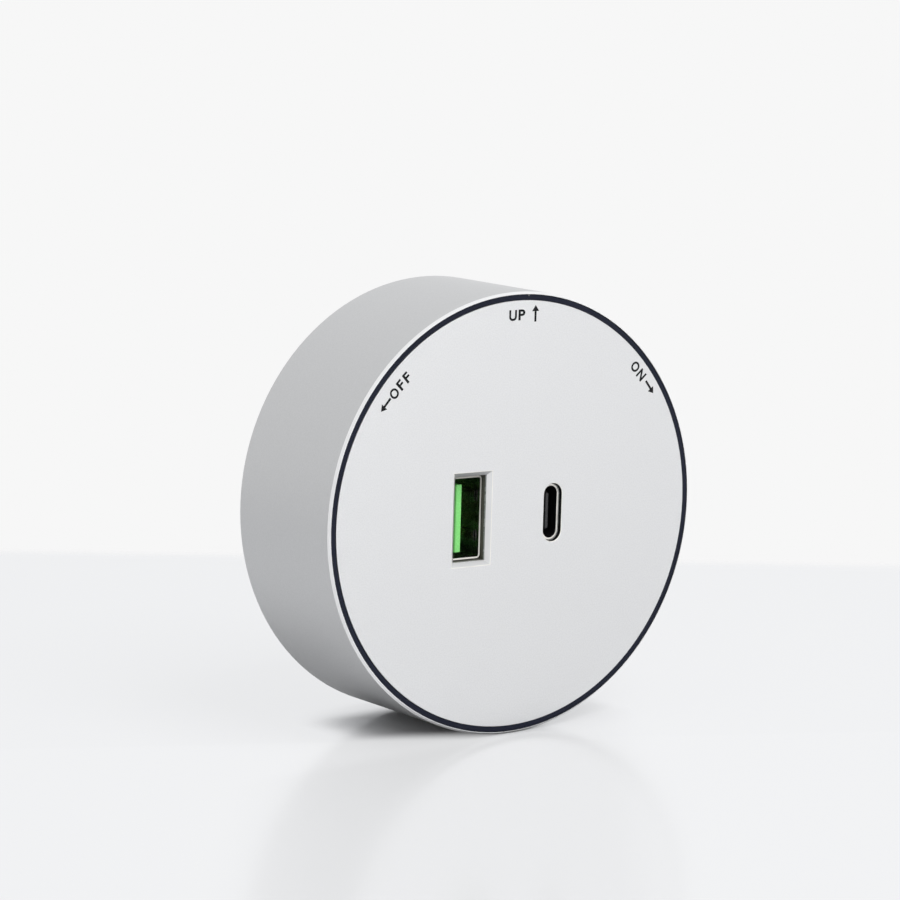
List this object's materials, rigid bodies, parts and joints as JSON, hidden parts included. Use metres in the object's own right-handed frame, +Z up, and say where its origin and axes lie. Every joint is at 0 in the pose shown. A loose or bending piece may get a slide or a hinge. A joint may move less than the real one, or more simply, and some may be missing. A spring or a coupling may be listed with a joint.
{
  "type": "round desk socket",
  "caption": "Round twist-in USB power socket for a desk track: aluminium puck with USB-A and USB-C ports, a rear locking key and a guide plate that stays still while the puck turns to ON.",
  "frame": {"origin": "centre of the seat pad's back face, where the socket sits on the track's front", "axes": "+Y to the back along the turning axis and into the track, +Z up in the OFF position, +X to the right seen from the front"},
  "size_m": [0.07, 0.0431, 0.07],
  "materials": {
    "shell_aluminium": "satin",
    "face_aluminium": "fine brushed",
    "ring_plastic": "satin",
    "black_plastic": "matte",
    "green_plastic": "gloss",
    "white_plastic": "matte",
    "steel": "bright",
    "contact_metal": "bright",
    "copper_wire": "enamelled",
    "ferrite": "matte",
    "board_laminate": "satin",
    "yellow_film": "gloss",
    "blue_coating": "gloss",
    "capacitor_sleeve": "gloss",
    "ceramic": "glazed",
    "brown_insulation": "satin",
    "blue_insulation": "satin",
    "green_insulation": "satin",
    "clear_film": "translucent",
    "pad_rubber": "matte"
  },
  "bodies": {
    "base": {"guide_plate": "black_plastic", "seat_pad": "pad_rubber"},
    "module": {"outer_shell": "shell_aluminium", "front_housing": "ring_plastic", "face_plate": "face_aluminium", "face_adhesive": "clear_film", "usb_a_shell": "steel", "usb_a_contacts": "contact_metal", "usb_a_tongue": "green_plastic", "usb_c_shell": "steel", "usb_c_contacts": "contact_metal", "usb_c_mid_plate": "steel", "usb_c_tongue": "black_plastic", "port_board": "board_laminate", "board_screws": "steel", "port_chips": "black_plastic", "board_header": "black_plastic", "header_pins": "contact_metal", "header_socket": "black_plastic", "power_board": "board_laminate", "transformer_core": "ferrite", "transformer_bobbin": "black_plastic", "transformer_coil": "yellow_film", "bulk_capacitors": "capacitor_sleeve", "output_capacitors": "capacitor_sleeve", "x_capacitor": "yellow_film", "inductor_core": "ferrite", "inductor_coil": "copper_wire", "choke_core": "ferrite", "choke_windings": "copper_wire", "fuse": "ceramic", "varistor": "blue_coating", "y_capacitor": "blue_coating", "bridge_rectifier": "black_plastic", "power_chip": "black_plastic", "optocoupler": "black_plastic", "insulation_sheet": "clear_film", "rear_cover": "black_plastic", "rear_cover_screws": "steel", "stop_pin": "steel", "key_body": "black_plastic", "key_screws": "steel", "key_cover": "black_plastic", "live_contact": "contact_metal", "neutral_contact": "contact_metal", "earth_contact": "contact_metal", "live_lead": "brown_insulation", "neutral_lead": "blue_insulation", "earth_lead": "green_insulation", "friction_washer": "white_plastic", "retaining_ring": "steel"}
  },
  "joints": [
    {"name": "twist", "type": "hinge", "parent": "base", "child": "module", "pos_m": [0, 0, 0], "axis": [0, 1, 0], "range_deg": [0, 90]}
  ]
}
